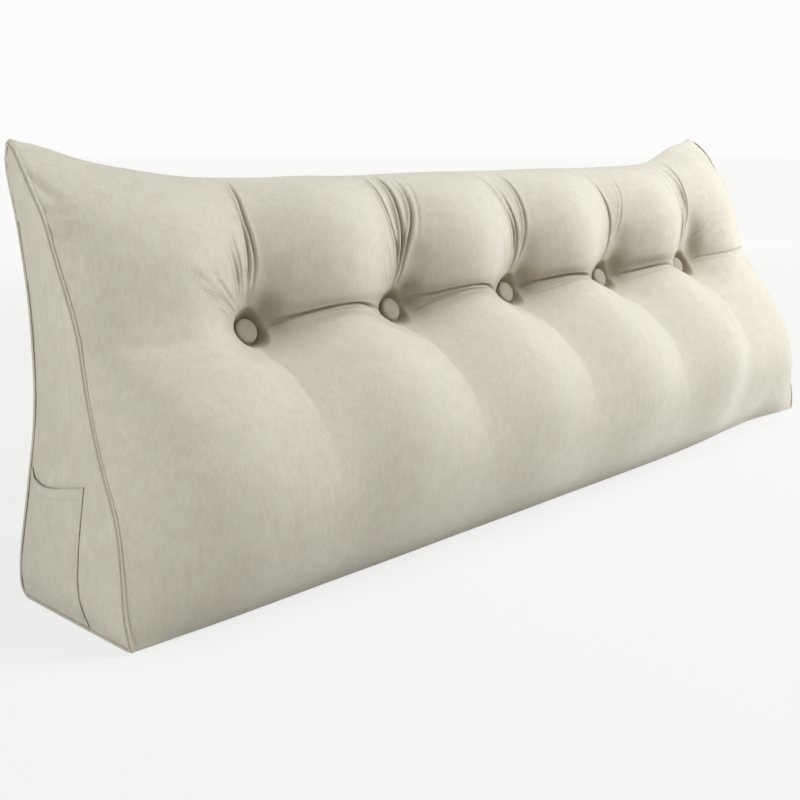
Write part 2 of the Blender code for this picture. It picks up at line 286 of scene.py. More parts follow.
# %% Sizes and sections
LENGTH = 1.472
BUTTON_SPACING = 0.2425
BUTTON_PLACES = np.arange(-2.0, 3.0) * BUTTON_SPACING
LENGTH_CENTRE = -0.0055
DEPTH_CENTRE = 0.0820
STATIONS = (
    # between buttons  beyond the last  through a button  end seam  drawn in left and right  reach  pinch
    ((0.200, 0.000), (0.200, 0.000), (0.200, 0.000), (0.200, 0.000), -0.001, 0.002, 0.20, 0.0),
    ((0.135, 0.000), (0.135, 0.000), (0.135, 0.000), (0.133, 0.000), -0.001, 0.002, 0.20, 0.0),
    ((0.065, 0.000), (0.065, 0.000), (0.065, 0.000), (0.064, 0.000), -0.001, 0.002, 0.20, 0.0),
    ((-0.004, 0.000), (-0.003, 0.000), (-0.004, 0.000), (-0.002, 0.000), -0.001, 0.002, 0.16, 0.0),
    ((-0.022, 0.009), (-0.018, 0.009), (-0.021, 0.009), (-0.007, 0.009), -0.003, 0.002, 0.15, 0.0),
    ((-0.047, 0.040), (-0.036, 0.040), (-0.044, 0.040), (-0.003, 0.040), -0.005, 0.002, 0.15, 0.0),
    ((-0.064, 0.085), (-0.047, 0.085), (-0.057, 0.085), (0.0105, 0.083), 0.003, 0.006, 0.15, 0.0),
    ((-0.070, 0.130), (-0.044, 0.130), (-0.059, 0.125), (0.031, 0.126), 0.012, 0.013, 0.15, 0.1),
    ((-0.064, 0.175), (-0.031, 0.175), (-0.048, 0.165), (0.063, 0.170), 0.020, 0.020, 0.15, 0.2),
    ((-0.042, 0.220), (-0.006, 0.218), (-0.031, 0.193), (0.090, 0.211), 0.0272, 0.0272, 0.16, 0.25),
    ((-0.005, 0.257), (0.020, 0.252), (-0.008, 0.216), (0.103, 0.248), 0.030, 0.030, 0.17, 0.3),
    ((0.036, 0.284), (0.040, 0.277), (0.034, 0.245), (0.110, 0.278), 0.0315, 0.0315, 0.18, 0.3),
    ((0.056, 0.294), (0.049, 0.290), (0.080, 0.261), (0.113, 0.291), 0.032, 0.032, 0.20, 0.2),
    ((0.070, 0.301), (0.057, 0.303), (0.1180, 0.2810), (0.1165, 0.304), 0.032, 0.032, 0.20, 0.25),
    ((0.061, 0.320), (0.064, 0.326), (0.111, 0.312), (0.1235, 0.326), 0.0315, 0.032, 0.20, 0.35),
    ((0.058, 0.352), (0.072, 0.354), (0.103, 0.340), (0.134, 0.353), 0.0305, 0.032, 0.20, 0.35),
    ((0.064, 0.388), (0.083, 0.389), (0.101, 0.370), (0.148, 0.389), 0.0285, 0.032, 0.20, 0.35),
    ((0.083, 0.422), (0.102, 0.421), (0.109, 0.402), (0.159, 0.422), 0.0265, 0.032, 0.22, 0.35),
    ((0.116, 0.446), (0.132, 0.447), (0.130, 0.434), (0.177, 0.453), 0.0235, 0.032, 0.28, 0.35),
    ((0.156, 0.456), (0.166, 0.458), (0.162, 0.453), (0.198, 0.480), 0.024, 0.034, 0.34, 0.3),
    ((0.192, 0.454), (0.200, 0.457), (0.194, 0.453), (0.232, 0.503), 0.030, 0.038, 0.36, 0.2),
    ((0.217, 0.431), (0.218, 0.434), (0.217, 0.430), (0.228, 0.465), 0.027, 0.034, 0.34, 0.1),
    ((0.229, 0.385), (0.226, 0.385), (0.227, 0.384), (0.216, 0.402), 0.029, 0.032, 0.28, 0.0),
    ((0.234, 0.310), (0.228, 0.310), (0.231, 0.309), (0.209, 0.312), 0.031, 0.032, 0.22, 0.0),
    ((0.234, 0.215), (0.228, 0.215), (0.231, 0.215), (0.206, 0.215), 0.0272, 0.0272, 0.20, 0.0),
    ((0.228, 0.120), (0.223, 0.120), (0.226, 0.120), (0.205, 0.120), 0.011, 0.011, 0.20, 0.0),
    ((0.214, 0.038), (0.211, 0.038), (0.213, 0.038), (0.203, 0.038), -0.005, 0.002, 0.20, 0.0),
)
SECTION_TABLE = np.array([[*a, *b, *c, *d, *rest] for a, b, c, d, *rest in STATIONS])
print("stations", len(STATIONS))

# %% [markdown]
# ## Points on the cover
#
# A smooth curve joins the stations, and the four sections are blended by how near a button or an end is. The
# two ends are not alike: the cover is fuller left of the first button than right of the last one, except at
# the buttons' own height, the foot draws back towards the right end, and the ears rise by different amounts.

# %% From the table to points
BUTTON_STATION = 13.0
NOTCH_EASE, NOTCH_WIDTH = 1.15, 1.2
FOOT_START, FOOT_TOP, FOOT_BACK = 0.20, 0.150, 0.024
FOOT_EASE, FOOT_EASE_START, FOOT_DEPTH = 0.8, 0.55, 0.2
EAR_START, EAR_BLEND = 0.40, 0.05
EAR_RISE = {
    # end: how much, how far from the tip, how wide
    -1: (0.0040, 0.045, 0.040),
    1: (0.0120, 0.120, 0.075),
}
END_TUFT_EASE = 0.6
LEFT_FULLNESS = 0.55
SIDE_PULL_POWER = 2.4
PINCH_POWER = 2.2


def smooth_step(t):
    """From 0 to 1 with a soft start and end."""
    t = np.clip(t, 0.0, 1.0)
    return t * t * (3 - 2 * t)


def smooth_curve(t, before, start, end, after):
    """From start to end at shares t, on a smooth curve that comes from before and goes on to after."""
    curve = (2 * t ** 3 - 3 * t ** 2 + 1) * start + (3 * t ** 2 - 2 * t ** 3) * end
    return curve + (t ** 3 - 2 * t ** 2 + t) * (end - before) / 2 + (t ** 3 - t ** 2) * (after - start) / 2


def read_sections(place):
    """The table read at places counted in stations, with a smooth closed curve through its rows."""
    place = np.asarray(place, float)
    index = np.floor(place).astype(int)
    rows = (SECTION_TABLE[(index + k) % len(SECTION_TABLE)] for k in (-1, 0, 1, 2))
    return smooth_curve((place - index)[..., None], *rows)


def cover(along, place):
    """Points of the cover, at distances along it from the middle button and places round its section."""
    along, place = np.broadcast_arrays(np.asarray(along, float), np.asarray(place, float))
    rows = read_sections(place)
    between, beyond, button, seam = (rows[..., k:k + 2] for k in (0, 2, 4, 6))
    x = along[..., None]
    pinch = np.clip(rows[..., 11:12], 0.0, 1.0)
    nearest = np.abs(along[..., None] - BUTTON_PLACES).min(axis=-1, keepdims=True)
    gap = np.minimum(nearest / (BUTTON_SPACING / 2), 1.0)
    notch = 1 - NOTCH_EASE * np.exp(-((place[..., None] - BUTTON_STATION) / NOTCH_WIDTH) ** 2)
    fullness = (between - beyond) * LEFT_FULLNESS * (1 - pinch) * notch
    beyond = np.where(x < 0, beyond + fullness, beyond)
    crown = np.where(np.abs(x) > BUTTON_PLACES[-1], beyond, between)
    eased = button + (beyond - between) * END_TUFT_EASE * (1 - pinch)
    button = np.where(np.abs(x) > BUTTON_PLACES[-2] + BUTTON_SPACING / 2, eased, button)
    pull = (0.5 + 0.5 * np.cos(np.pi * gap)) * (1 - pinch) + (1 - gap) ** PINCH_POWER * pinch
    point = crown + (button - crown) * pull
    inset = np.where(x < 0, rows[..., 8:9], rows[..., 9:10])
    side_pull = np.maximum(0.0, 1 - (LENGTH / 2 - np.abs(x)) / rows[..., 10:11]) ** SIDE_PULL_POWER
    point = point + (seam - point) * side_pull
    drawn = x * (1 - 2 * inset * side_pull / LENGTH) - LENGTH_CENTRE
    depth, height = point[..., 0:1], np.maximum(point[..., 1:2], 0.0)
    foot = smooth_step((x - FOOT_START) / (LENGTH / 2 - FOOT_START)) * (1 - smooth_step(height / FOOT_TOP))
    foot = foot * (1 - FOOT_EASE * smooth_step((x - FOOT_EASE_START) / (LENGTH / 2 - FOOT_EASE_START)))
    depth = depth + FOOT_BACK * foot * np.clip(1 - depth / FOOT_DEPTH, 0.0, 1.0)
    for end, (rise, from_tip, spread) in EAR_RISE.items():
        near_tip = np.exp(-((LENGTH / 2 - end * x - from_tip) / spread) ** 2)
        height = height + rise * near_tip * smooth_step((height - EAR_START) / EAR_BLEND)
    return np.concatenate([drawn, depth - DEPTH_CENTRE, height], axis=-1)


middle = cover(0.0, BUTTON_STATION)
print("middle button's seat", [round(float(v), 4) for v in middle])

# %% [markdown]
# ## How fine the cover is
#
# The pleats above the buttons are only 3 to 5 mm wide, so the mesh has to be fine there, and it can be coarse
# on the base and the back, where nothing happens. The columns are about 1.5 mm apart near a button and at the
# ends, and 5 mm elsewhere. The rows follow the stations, and a table says how many of them each station gets.

# %% Columns and rows of the mesh
COLUMN_BANDS = (
    # up to this far from a button, this far apart
    (0.030, 0.0015),
    (0.054, 0.0023),
    (0.122, 0.0052),
)
END_BANDS = (
    # up to this far from an end, this far apart
    (0.006, 0.0015),
    (0.030, 0.0034),
    (0.060, 0.0050),
)
ROW_COUNTS = (
    # from this station, rows for each station
    (0, 6), (2, 7), (3, 4), (4, 9), (10, 11), (11, 12), (12, 17), (13, 16),
    (14, 10), (18, 11), (19, 10), (20, 6), (22, 7), (23, 8), (25, 7), (26, 5),
)
COLUMNS_BEYOND = 16
COLUMN_MERGE = 0.0007


def graded(bands):
    """Distances from a point outwards, finer near it."""
    spots = [0.0]
    for limit, step in bands:
        steps = max(1, round((limit - spots[-1]) / step))
        spots += list(np.linspace(spots[-1], limit, steps + 1)[1:])
    return spots


def column_places():
    """The place along the pillow of every column of the mesh."""
    places = [x + side * away for x in BUTTON_PLACES for away in graded(COLUMN_BANDS) for side in (-1, 1)]
    beyond = np.linspace(
        BUTTON_PLACES[-1] + COLUMN_BANDS[-1][0], LENGTH / 2 - END_BANDS[-1][0], COLUMNS_BEYOND
    )[1:-1]
    ends = [LENGTH / 2 - away for away in graded(END_BANDS)]
    places += [side * x for x in (*beyond, *ends) for side in (-1, 1)]
    kept = []
    for place in sorted(round(float(x), 5) for x in places):
        if not kept or place - kept[-1] > COLUMN_MERGE:
            kept.append(place)
    return np.array(kept)


def row_places():
    """The place round the section of every row of the mesh."""
    rows = []
    stops = [start for start, _ in ROW_COUNTS[1:]] + [len(STATIONS)]
    for (start, count), stop in zip(ROW_COUNTS, stops):
        for station in range(start, stop):
            rows += [station + k / count for k in range(count)]
    return np.array(rows)


COLUMNS = column_places()
ROWS = row_places()
smooth_cover = cover(COLUMNS[:, None], ROWS[None, :])
print("columns", len(COLUMNS), "rows", len(ROWS))

# %% [markdown]
# ## The button seats
#
# Under each button the twine pulls the cloth flat against the button's back. Every point of the cover near a
# button's axis is moved onto a flat round seat, and the move fades out just beyond the button's rim.

# %% Press the seats flat
BUTTON_LEAN = math.radians(21.8)
BUTTON_AXIS = np.array([0.0, -math.cos(BUTTON_LEAN), math.sin(BUTTON_LEAN)])
SEAT_DEPTH, SEAT_HEIGHT = 0.1180, 0.2810
SEAT_RADIUS = 0.0162
SEAT_BLEND = 0.0100
SEAT_LIMIT = 0.05
SEATS = [np.array([x - LENGTH_CENTRE, SEAT_DEPTH - DEPTH_CENTRE, SEAT_HEIGHT]) for x in BUTTON_PLACES]


def press_seats(points):
    """Move the cover near each button onto the button's flat seat."""
    pressed = points.copy()
    for seat in SEATS:
        offset = pressed - seat
        height = offset @ BUTTON_AXIS
        radius = np.linalg.norm(offset - height[..., None] * BUTTON_AXIS, axis=-1)
        share = 1 - smooth_step((radius - SEAT_RADIUS) / SEAT_BLEND)
        share = np.where(np.abs(height) < SEAT_LIMIT, share, 0.0)
        pressed -= (height * share)[..., None] * BUTTON_AXIS
    return pressed


print("seats at height", SEAT_HEIGHT)

# %% [markdown]
# ## Pleats, creases and wrinkles
#
# The cloth is flat, and a button pulls a round dimple into it, so the spare cloth gathers into pleats that
# run up from the button to the top edge. Between two buttons the full part above folds over the part below in
# one sharp crease. Each fold is drawn as a stroke: its button, how wide and deep it is, and a few
# points that it runs through, each as a distance along the pillow from that button in millimetres and a place
# round the section in stations. A fold has a groove and, beside it, the cloth that was pushed aside: a ridge
# on the left and a lower one on the right. The wrinkles along the left seam are strokes too, and a negative
# depth makes a raised one. Beside and above each button the cloth also dips in soft hollows.

# %% The folds as strokes
PLEATS = (
    # button, width, depth, ridge, points
    (0, 4.2, 3.4, 0.8, ((15, 18.9), (10, 18.2), (6, 17.3), (7, 16.5), (8, 15.7), (5, 14.7))),
    (0, 3.6, 2.2, 0.9, ((1, 17.4), (0, 16.5), (-1, 15.6), (-3, 14.7))),
    (0, 3.8, 2.4, 1.1, ((-23, 16.8), (-17, 15.8), (-13, 14.9), (-9, 14.3))),
    (0, 3.8, 2.4, 1.1, ((-32, 16.4), (-24, 15.5), (-17, 14.7), (-13, 14.2))),
    (0, 4.2, 2.8, 1.0, ((-118, 15.8), (-86, 15.1), (-55, 14.4), (-26, 13.8))),
    (0, 4.0, 2.6, 1.0, ((-82, 15.8), (-55, 15.0), (-32, 14.3), (-18, 13.9))),
    (0, 4.0, 2.2, 1.0, ((-102, 15.0), (-68, 14.4), (-30, 13.7))),
    (1, 4.6, 4.0, 1.0, ((-4, 19.0), (-9, 17.8), (-8, 16.7), (-2, 15.8), (1, 14.8), (0, 14.2))),
    (1, 4.6, 4.2, 1.0, ((18, 19.0), (15, 18.0), (11, 17.0), (8, 16.1), (5, 15.2), (4, 14.3))),
    (1, 4.6, 4.2, 1.0, ((38, 18.5), (32, 17.4), (25, 16.7), (15, 15.9), (10, 15.0), (7, 14.2))),
    (1, 3.6, 1.8, 0.8, ((52, 18.6), (45, 17.6), (37, 16.8), (28, 16.0))),
    (1, 3.4, 1.6, 0.9, ((-50, 15.8), (-34, 14.9), (-20, 14.2))),
    (1, 3.2, 1.3, 0.9, ((-30, 16.2), (-20, 15.4), (-12, 14.5))),
    (2, 4.6, 3.8, 1.0, ((-30, 18.9), (-22, 17.8), (-12, 16.9), (-3, 16.0), (2, 15.1), (2, 14.3))),
    (2, 4.6, 3.8, 1.0, ((-8, 18.2), (0, 17.0), (5, 16.0), (6, 15.0), (5, 14.3))),
    (2, 4.2, 2.8, 0.8, ((24, 18.8), (24, 17.5), (22, 16.4), (18, 15.3), (11, 14.4))),
    (2, 3.4, 1.4, 0.9, ((-46, 16.0), (-32, 15.1), (-18, 14.3))),
    (3, 4.2, 3.2, 0.8, ((-10, 18.8), (-2, 17.6), (3, 16.6), (4, 15.7), (3, 14.5))),
    (3, 3.6, 1.8, 0.8, ((44, 18.3), (36, 17.2), (26, 16.3), (16, 15.3))),
    (4, 4.6, 3.8, 1.0, ((-40, 19.4), (-26, 18.6), (-14, 17.6), (-4, 16.5), (0, 15.5), (1, 14.5))),
    (4, 4.0, 2.8, 0.8, ((40, 19.6), (24, 18.4), (18, 17.4), (14, 16.3), (9, 15.3), (6, 14.4))),
    (4, 3.6, 2.0, 0.8, ((2, 19.2), (6, 18.2), (9, 17.2), (9, 16.2), (6, 15.2))),
    (4, 3.6, 1.6, 0.9, ((66, 15.8), (42, 15.1), (20, 14.4))),
    (4, 3.4, 1.3, 0.9, ((84, 15.5), (56, 14.8), (30, 14.2))),
)
CREASES = (
    (0, 3.4, 6.5, 0.3, (
        (18, 13.05), (40, 13.15), (62, 13.22), (90, 13.30), (122, 13.34), (165, 13.26), (222, 13.06),
    )),
    (1, 3.4, 5.5, 0.3, ((20, 13.10), (38, 13.30), (62, 13.36), (95, 13.44), (140, 13.42), (222, 13.06))),
    (1, 3.4, 2.0, 0.3, ((30, 12.80), (62, 12.95), (98, 13.02))),
    (2, 3.4, 6.0, 0.3, ((20, 13.06), (42, 13.20), (68, 13.24), (102, 13.20), (142, 13.05), (222, 13.00))),
    (2, 3.6, 2.6, 0.3, ((26, 12.70), (60, 12.50), (100, 12.35), (130, 12.40))),
    (3, 3.4, 5.5, 0.3, ((20, 13.00), (44, 12.95), (84, 12.85), (130, 12.80), (222, 12.98))),
    (3, 3.6, 2.6, 0.3, ((26, 12.60), (72, 12.30), (108, 12.10), (140, 12.30))),
    (4, 3.8, 2.4, 0.3, ((20, 13.05), (43, 13.26), (85, 13.20), (159, 13.24), (215, 13.20), (248, 13.15))),
)
SEAM_WRINKLES = (
    (0, 3.6, -1.5, 0.3, ((-252, 16.90), (-238, 16.95), (-219, 16.90))),
    (0, 3.6, -1.8, 0.3, ((-250, 16.22), (-228, 16.28), (-204, 16.20))),
    (0, 14.0, 3.0, 0.1, ((-250, 18.6), (-238, 18.0), (-226, 17.4))),
    (0, 11.0, 2.6, 0.1, ((-250, 17.25), (-232, 17.2), (-212, 17.1))),
    (0, 11.0, 3.0, 0.1, ((-250, 16.55), (-230, 16.6), (-208, 16.6))),
)
HOLLOWS = (
    # button, offset, station, width, height, depth
    (0, 29, 13.7, 17, 20, 11.0), (1, 28, 13.7, 16, 20, 10.0), (2, 28, 13.7, 15, 20, 9.0),
    (3, 27, 13.7, 15, 20, 8.0), (4, 26, 13.9, 15, 24, 9.5), (0, 26, 15.0, 18, 24, 4.0),
    (1, 26, 15.0, 18, 24, 4.0), (2, 24, 15.0, 16, 24, 3.5), (3, 24, 15.0, 16, 24, 3.5),
    (4, 24, 15.2, 16, 24, 5.5),
)
print("pleats", len(PLEATS), "creases", len(CREASES), "wrinkles", len(SEAM_WRINKLES), "hollows", len(HOLLOWS))

# %% [markdown]
# The few points of a fold are not enough to press it in. A smooth curve is laid through them, taken onto the
# smooth cover and cut into even steps.

# %% The line of a fold
FOLD_STEP = 0.0015
FOLD_SAMPLES = 40


def line_through(points, place):
    """A smooth open line through points, read at places counted in points."""
    index = np.minimum(place.astype(int), len(points) - 2)
    padded = np.vstack([2 * points[0] - points[1], points, 2 * points[-1] - points[-2]])
    return smooth_curve((place - index)[:, None], *(padded[index + k] for k in range(4)))


def even_points(line, step, closed=False):
    """Points at even steps along a line."""
    line = np.vstack([line, line[:1]]) if closed else line
    steps = np.concatenate([[0.0], np.cumsum(np.linalg.norm(np.diff(line, axis=0), axis=1))])
    wanted = np.linspace(0, steps[-1], max(4, int(steps[-1] / step)), endpoint=not closed)
    return np.stack([np.interp(wanted, steps, line[:, k]) for k in range(3)], axis=1)


def stroke_points(button, points):
    """A fold's line on the smooth cover, as closely spaced points."""
    spots = np.array(points, float)
    last = len(spots) - 1
    curve = line_through(spots, np.linspace(0, last, FOLD_SAMPLES * last))
    return even_points(cover(BUTTON_PLACES[button] + curve[:, 0] / 1000, curve[:, 1]), FOLD_STEP)


print("points along the first pleat", len(stroke_points(PLEATS[0][0], PLEATS[0][4])))

# %% [markdown]
# Each point of the cover near that line is moved along the cover's own normal, by an amount that depends on how
# far to the side of the line it lies. Both ends of a fold fade out.

# %% Press a fold, press a hollow
FOLD_REACH = 3.0
FOLD_TIP, FOLD_FADE = 0.02, 0.6
RIGHT_OR_UP = 0.3
GROOVE_WIDTH = 0.42
# where each ridge stands and how wide it is, in widths of its fold, and its share of the fold's ridge
LEFT_RIDGE = (-0.85, 0.50, 0.60)
RIGHT_RIDGE = (1.0, 0.70, 0.25)
FRONT_STATION = 8


def unit(vectors):
    """Vectors of length one in the same directions."""
    return vectors / np.maximum(np.linalg.norm(vectors, axis=-1, keepdims=True), 1e-9)


def grid_normals(points):
    """Outward normals of a grid of points that closes round its rows."""
    along = np.gradient(points, axis=0)
    around = np.roll(points, -1, axis=1) - np.roll(points, 1, axis=1)
    return unit(np.cross(along, around))


def press_fold(points, base, normals, fold):
    """Press one fold into the points, along the cover's normals."""
    button, width, depth, ridge, spots = fold
    width, depth = width / 1000, depth / 1000
    line = stroke_points(button, spots)
    reach = width * FOLD_REACH
    near = np.all((base > line.min(axis=0) - reach) & (base < line.max(axis=0) + reach), axis=-1)
    chosen = np.nonzero(near)
    spot = base[chosen]
    offset = spot[:, None, :] - line[None, :, :]
    nearest = np.linalg.norm(offset, axis=2).argmin(axis=1)
    away = offset[np.arange(len(spot)), nearest]
    tangent = unit(np.gradient(line, axis=0)[nearest])
    normal = normals[chosen]
    side = np.cross(tangent, normal)
    side *= np.where(side[:, :1] + RIGHT_OR_UP * side[:, 2:3] >= 0, 1.0, -1.0)
    across = (away * side).sum(axis=1)
    past_end = np.abs((away * tangent).sum(axis=1))
    share = np.clip(nearest / (len(line) - 1), FOLD_TIP, 1 - FOLD_TIP)
    fade = np.sin(np.pi * share) ** FOLD_FADE * np.exp(-(past_end / width) ** 2)
    push = -np.exp(-(across / (GROOVE_WIDTH * width)) ** 2)
    for centre, spread, height in (LEFT_RIDGE, RIGHT_RIDGE):
        push += ridge * height * np.exp(-((across - centre * width) / (spread * width)) ** 2)
    push *= depth * fade
    points[chosen] += normal * push[:, None]


def press_hollow(points, base, normals, hollow):
    """Press one soft dent into the points, along the cover's normals."""
    button, offset, station, width, height, depth = hollow
    centre = cover(BUTTON_PLACES[button] + offset / 1000, station)
    along = (base[..., 0] - centre[0]) / (width / 1000)
    around = np.linalg.norm(base[..., 1:] - centre[1:], axis=-1) / (height / 1000)
    points -= normals * (depth / 1000 * np.exp(-(along ** 2 + around ** 2)))[..., None]


normals = grid_normals(smooth_cover)
front_normal = normals[len(COLUMNS) // 2, np.abs(ROWS - FRONT_STATION).argmin()]
if front_normal[1] > 0:
    normals = -normals
print("normals", normals.shape)

# %% [markdown]
# ## Lumps of the filling
#
# Loose fibre never fills a cover evenly. A slow, low noise moves the surface by about a millimetre, but not
# on the base, which stands flat on the floor.

# %% Press the folds and add the lumps
LUMP_SIZE = 0.085
LUMP_HEIGHT = 0.0011
LUMP_FADE = 0.035


def add_lumps(points, normals):
    """Move the cover gently in and out, as the filling does."""
    flat = points.reshape(-1, 3)
    waves = np.array([noise.noise(Vector(spot) / LUMP_SIZE) for spot in flat]).reshape(points.shape[:2])
    fade = smooth_step(points[..., 2] / LUMP_FADE)
    return points + normals * (waves * fade * LUMP_HEIGHT)[..., None]


folded = smooth_cover.copy()
for hollow in HOLLOWS:
    press_hollow(folded, smooth_cover, normals, hollow)
for fold in SEAM_WRINKLES + CREASES + PLEATS:
    press_fold(folded, smooth_cover, normals, fold)
folded = add_lumps(folded, normals)
folded = press_seats(folded)
folded[..., 2] = np.maximum(folded[..., 2], 0.0)
moved = np.linalg.norm(folded - smooth_cover, axis=-1)
print("the cover has moved by up to", round(float(moved.max()) * 1000, 1), "mm")

# %% [markdown]
# ## The end panels
#
# Each end of the pillow is closed by a flat wedge-shaped panel that bulges a few millimetres. A net of
# triangles is laid inside the outline of the end seam, and each of its points swells with its distance from
# the seam.

# %% End panels
PANEL_CROWN = 0.005
PANEL_CROWN_REACH = 0.070
PANEL_GRID = 0.0062
FIRST_ROW, EDGE_GAP = 0.7, 0.55


def end_outline(sign):
    """The end seam of one end as (depth, height) spots, and how far each is drawn in."""
    rows = read_sections(ROWS)
    spots = cover(sign * LENGTH / 2, ROWS)[:, 1:]
    return spots, rows[:, 8 if sign < 0 else 9]


def seam_distance(spots, outline):
    """How far each spot is from the end seam."""
    start = outline[None, :, :]
    edge = np.roll(outline, -1, axis=0)[None, :, :] - start
    offset = spots[:, None, :] - start
    t = np.clip((offset * edge).sum(axis=2) / np.maximum((edge ** 2).sum(axis=2), 1e-12), 0.0, 1.0)
    return np.linalg.norm(offset - edge * t[..., None], axis=2).min(axis=1)


def inside_outline(spots, outline):
    """Whether each spot lies inside the end seam."""
    start, end = outline[None, :, :], np.roll(outline, -1, axis=0)[None, :, :]
    y, z = spots[:, None, 0], spots[:, None, 1]
    straddles = (start[..., 1] > z) != (end[..., 1] > z)
    rise = np.where(straddles, end[..., 1] - start[..., 1], 1.0)
    cross = start[..., 0] + (z - start[..., 1]) / rise * (end[..., 0] - start[..., 0])
    return (straddles & (y < cross)).sum(axis=1) % 2 == 1


def panel_offset(spots, sign):
    """How far along the pillow the end panel is at each (depth, height) spot."""
    outline, insets = end_outline(sign)
    order = np.argsort(outline[:, 1])
    inset = np.interp(spots[:, 1], outline[order, 1], insets[order])
    t = np.minimum(seam_distance(spots, outline) / PANEL_CROWN_REACH, 1.0)
    swell = PANEL_CROWN * (1 - (1 - t) ** 2)
    return sign * (LENGTH / 2 - inset + swell) - LENGTH_CENTRE


def panel_net(sign):
    """The points inside one end panel and the triangles that join them to the seam's points."""
    outline, _ = end_outline(sign)
    depths = np.arange(outline[:, 0].min(), outline[:, 0].max(), PANEL_GRID)
    heights = np.arange(PANEL_GRID * FIRST_ROW, outline[:, 1].max(), PANEL_GRID)
    spots = np.array([(y, z) for z in heights for y in depths])
    spots = spots[inside_outline(spots, outline)]
    spots = spots[seam_distance(spots, outline) > PANEL_GRID * EDGE_GAP]
    corners = [Vector(spot) for spot in np.vstack([outline, spots])]
    edges = [(k, (k + 1) % len(outline)) for k in range(len(outline))]
    _, _, faces, _, _, _ = delaunay_2d_cdt(corners, edges, [], 1, 1e-7)
    points = np.column_stack([panel_offset(spots, sign), spots])
    return points, faces


left_points, left_faces = panel_net(-1)
right_points, right_faces = panel_net(1)
print("end panel points", len(left_points), len(right_points))

# %% [markdown]
# ## The filled cushion
#
# The grid of the cover and the two nets are joined into one closed mesh. The tips of the two ears at the top
# corners are rounded by a few passes of smoothing, because cloth turned inside out never makes a sharp point.

# %% Build the cushion
EAR_RADIUS = 0.020
EAR_PASSES = 14
EAR_LIFT = 0.003


def build_cushion():
    """The whole stuffed cover as one closed mesh object."""
    around = len(ROWS)
    shape = bmesh.new()
    grid = [[shape.verts.new(spot) for spot in column] for column in folded]
    for left, right in zip(grid, grid[1:]):
        for k in range(around):
            shape.faces.new((left[k], left[(k + 1) % around], right[(k + 1) % around], right[k]))
    for ring, points, faces in ((grid[0], left_points, left_faces), (grid[-1], right_points, right_faces)):
        corners = list(ring) + [shape.verts.new(spot) for spot in points]
        for face in faces:
            shape.faces.new([corners[k] for k in face])
    for ring in (grid[0], grid[-1]):
        tip = max(ring, key=lambda vert: vert.co.z).co.copy()
        near = [vert for vert in shape.verts if (vert.co - tip).length < EAR_RADIUS]
        for vert in near:
            vert.co.z += EAR_LIFT * (1 - (vert.co - tip).length / EAR_RADIUS)
        for _ in range(EAR_PASSES):
            bmesh.ops.smooth_vert(
                shape, verts=near, factor=0.5, use_axis_x=True, use_axis_y=True, use_axis_z=True
            )
    return finish_shape("stuffed_cushion", shape)


cushion = build_cushion()
print("cushion faces", len(cushion.data.polygons))

# %% [markdown]
# ## Velvet
#
# The cover is short-pile polyester velvet, woven and cut, in a warm cream. Velvet is dark where you look
# straight into the pile and light where you see it from the side, which the shader's sheen gives. Hands and
# folding lay the pile in patches, so the colour wanders a little in soft clouds and in brushed streaks. Shade
# is painted into the colour: a node that measures how shut in a spot is finds the hollows and creases, and
# there the colour is darkened and warmed as painted shade. The pile itself is about 0.3 mm across, too fine
# to show here, so its grain is drawn at 1.1 mm.

# %% Velvet material
GRAIN_SIZE = 0.0011
CLOUD_SIZE = 0.060
PATCH_SIZE = 0.016
STREAK_WIDTH, STREAK_LENGTH, STREAK_LEAN = 0.0035, 0.030, 0.35
GRAIN_HEIGHT = 0.00022
NAP_HEIGHT = 0.00060
# how far the painted shade looks round a spot for nearby cloth, and the colour it darkens hollows towards
HOLLOW_SHADE_REACH = 0.070
PAINTED_HOLLOW_SHADE = "#c6beae"


